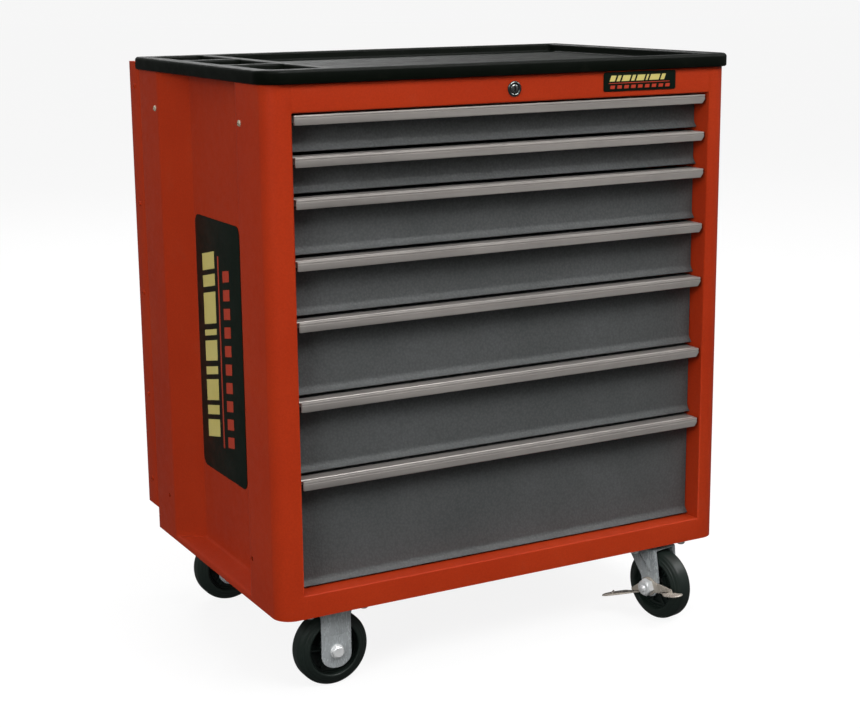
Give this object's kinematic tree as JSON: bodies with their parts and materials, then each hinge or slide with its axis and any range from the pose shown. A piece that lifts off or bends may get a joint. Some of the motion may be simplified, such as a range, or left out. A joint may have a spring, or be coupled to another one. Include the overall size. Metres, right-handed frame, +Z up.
{
  "type": "rolling tool cabinet",
  "caption": "Rolling steel tool cabinet with sliding drawers, full-width metal grips, a moulded tray worktop, a central lock, and rigid and braked swivel casters.",
  "frame": {"origin": "on the floor under the wheels, at the middle of the overall bounding box", "axes": "+X to the cabinet's right seen from the front, +Y to the back (drawers open towards -Y), +Z up"},
  "size_m": [0.692, 0.5364, 0.7945],
  "materials": {
    "body_red": "orange-red powder coat with a fine orange-peel texture, satin gloss",
    "frame_red": "same powder coat, thinner and duller on inner parts",
    "drawer_grey": "charcoal wrinkle powder coat, satin",
    "grip_aluminium": "extruded and brushed lengthways, warm grey anodised",
    "tray_black": "moulded black plastic, smooth lip with grained recesses",
    "slide_zinc": "zinc-plated rolled steel",
    "bracket_zinc": "zinc-plated pressed steel, lightly scuffed",
    "lever_zinc": "bright zinc-plated pressed steel",
    "bolt_zinc": "bright zinc-plated fasteners",
    "tyre_black": "black rubber tread and dark moulded hub, satin",
    "lock_chrome": "polished chrome",
    "plug_steel": "turned and plated steel",
    "label_dark": "dark green-black satin film"
  },
  "bodies": {
    "root": {"left_side_panel": "body_red", "right_side_panel": "body_red", "top_rail": "body_red", "bottom_rail": "body_red", "base_panel": "frame_red", "rear_cover": "body_red", "worktop": "tray_black", "front_left_upright": "frame_red", "front_right_upright": "frame_red", "rear_left_upright": "frame_red", "rear_right_upright": "frame_red", "lock_cylinder": "lock_chrome", "badge": "label_dark", "side_label": "label_dark", "drawer_1_rail_left": "slide_zinc", "drawer_1_rail_right": "slide_zinc", "drawer_2_rail_left": "slide_zinc", "drawer_2_rail_right": "slide_zinc", "drawer_3_rail_left": "slide_zinc", "drawer_3_rail_right": "slide_zinc", "drawer_4_rail_left": "slide_zinc", "drawer_4_rail_right": "slide_zinc", "drawer_5_rail_left": "slide_zinc", "drawer_5_rail_right": "slide_zinc", "drawer_6_rail_left": "slide_zinc", "drawer_6_rail_right": "slide_zinc", "drawer_7_rail_left": "slide_zinc", "drawer_7_rail_right": "slide_zinc", "caster_front_left_bracket": "bracket_zinc", "caster_front_left_axle": "bolt_zinc", "caster_rear_left_bracket": "bracket_zinc", "caster_rear_left_axle": "bolt_zinc", "caster_front_right_plate": "bracket_zinc", "caster_rear_right_plate": "bracket_zinc"},
    "drawer_1": {"drawer_1": "drawer_grey", "drawer_1_handle": "grip_aluminium"},
    "drawer_2": {"drawer_2": "drawer_grey", "drawer_2_handle": "grip_aluminium"},
    "drawer_3": {"drawer_3": "drawer_grey", "drawer_3_handle": "grip_aluminium"},
    "drawer_4": {"drawer_4": "drawer_grey", "drawer_4_handle": "grip_aluminium"},
    "drawer_5": {"drawer_5": "drawer_grey", "drawer_5_handle": "grip_aluminium"},
    "drawer_6": {"drawer_6": "drawer_grey", "drawer_6_handle": "grip_aluminium"},
    "drawer_7": {"drawer_7": "drawer_grey", "drawer_7_handle": "grip_aluminium"},
    "lock": {"lock_plug": "plug_steel"},
    "lock_bar": {"lock_bar": "slide_zinc"},
    "wheel_front_left": {"caster_front_left_wheel": "tyre_black"},
    "wheel_rear_left": {"caster_rear_left_wheel": "tyre_black"},
    "swivel_front_right": {"caster_front_right_fork": "bracket_zinc", "caster_front_right_axle": "bolt_zinc"},
    "wheel_front_right": {"caster_front_right_wheel": "tyre_black"},
    "brake_front_right": {"caster_front_right_brake_lever": "lever_zinc"},
    "swivel_rear_right": {"caster_rear_right_fork": "bracket_zinc", "caster_rear_right_axle": "bolt_zinc"},
    "wheel_rear_right": {"caster_rear_right_wheel": "tyre_black"},
    "brake_rear_right": {"caster_rear_right_brake_lever": "lever_zinc"}
  },
  "joints": [
    {"name": "drawer_1_slide", "type": "slide", "parent": "root", "child": "drawer_1", "axis": [0, -1, 0], "range_m": [0, 0.3]},
    {"name": "drawer_2_slide", "type": "slide", "parent": "root", "child": "drawer_2", "axis": [0, -1, 0], "range_m": [0, 0.3]},
    {"name": "drawer_3_slide", "type": "slide", "parent": "root", "child": "drawer_3", "axis": [0, -1, 0], "range_m": [0, 0.3]},
    {"name": "drawer_4_slide", "type": "slide", "parent": "root", "child": "drawer_4", "axis": [0, -1, 0], "range_m": [0, 0.3]},
    {"name": "drawer_5_slide", "type": "slide", "parent": "root", "child": "drawer_5", "axis": [0, -1, 0], "range_m": [0, 0.3]},
    {"name": "drawer_6_slide", "type": "slide", "parent": "root", "child": "drawer_6", "axis": [0, -1, 0], "range_m": [0, 0.3]},
    {"name": "drawer_7_slide", "type": "slide", "parent": "root", "child": "drawer_7", "axis": [0, -1, 0], "range_m": [0, 0.3]},
    {"name": "lock_turn", "type": "hinge", "parent": "root", "child": "lock", "pos_m": [0, -0.21385, 0.76], "axis": [0, 1, 0], "range_deg": [0, 90]},
    {"name": "lock_bar_slide", "type": "slide", "parent": "root", "child": "lock_bar", "axis": [0, 0, -1], "range_m": [0, 0.008]},
    {"name": "wheel_front_left_roll", "type": "hinge", "parent": "root", "child": "wheel_front_left", "pos_m": [-0.252, -0.16784, 0.05], "axis": [0, -1, 0], "continuous": true},
    {"name": "wheel_rear_left_roll", "type": "hinge", "parent": "root", "child": "wheel_rear_left", "pos_m": [-0.252, 0.18615, 0.05], "axis": [0, -1, 0], "continuous": true},
    {"name": "swivel_front_right_turn", "type": "hinge", "parent": "root", "child": "swivel_front_right", "pos_m": [0.25, -0.16584, 0.1047], "axis": [0, 0, 1], "continuous": true},
    {"name": "wheel_front_right_roll", "type": "hinge", "parent": "swivel_front_right", "child": "wheel_front_right", "pos_m": [0.25572, -0.19529, 0.05], "axis": [-0.9816, -0.1908, 0], "continuous": true},
    {"name": "brake_front_right_press", "type": "hinge", "parent": "swivel_front_right", "child": "brake_front_right", "pos_m": [0.25572, -0.19529, 0.05], "axis": [0.9816, 0.1908, 0], "range_deg": [0, 26]},
    {"name": "swivel_rear_right_turn", "type": "hinge", "parent": "root", "child": "swivel_rear_right", "pos_m": [0.25, 0.18216, 0.1047], "axis": [0, 0, 1], "continuous": true},
    {"name": "wheel_rear_right_roll", "type": "hinge", "parent": "swivel_rear_right", "child": "wheel_rear_right", "pos_m": [0.25572, 0.15271, 0.05], "axis": [-0.9816, -0.1908, 0], "continuous": true},
    {"name": "brake_rear_right_press", "type": "hinge", "parent": "swivel_rear_right", "child": "brake_rear_right", "pos_m": [0.25572, 0.15271, 0.05], "axis": [0.9816, 0.1908, 0], "range_deg": [0, 26]}
  ],
  "couplings": [
    {"joint": "lock_turn", "follows": "lock_bar_slide", "rad_per_m": 196.35}
  ]
}
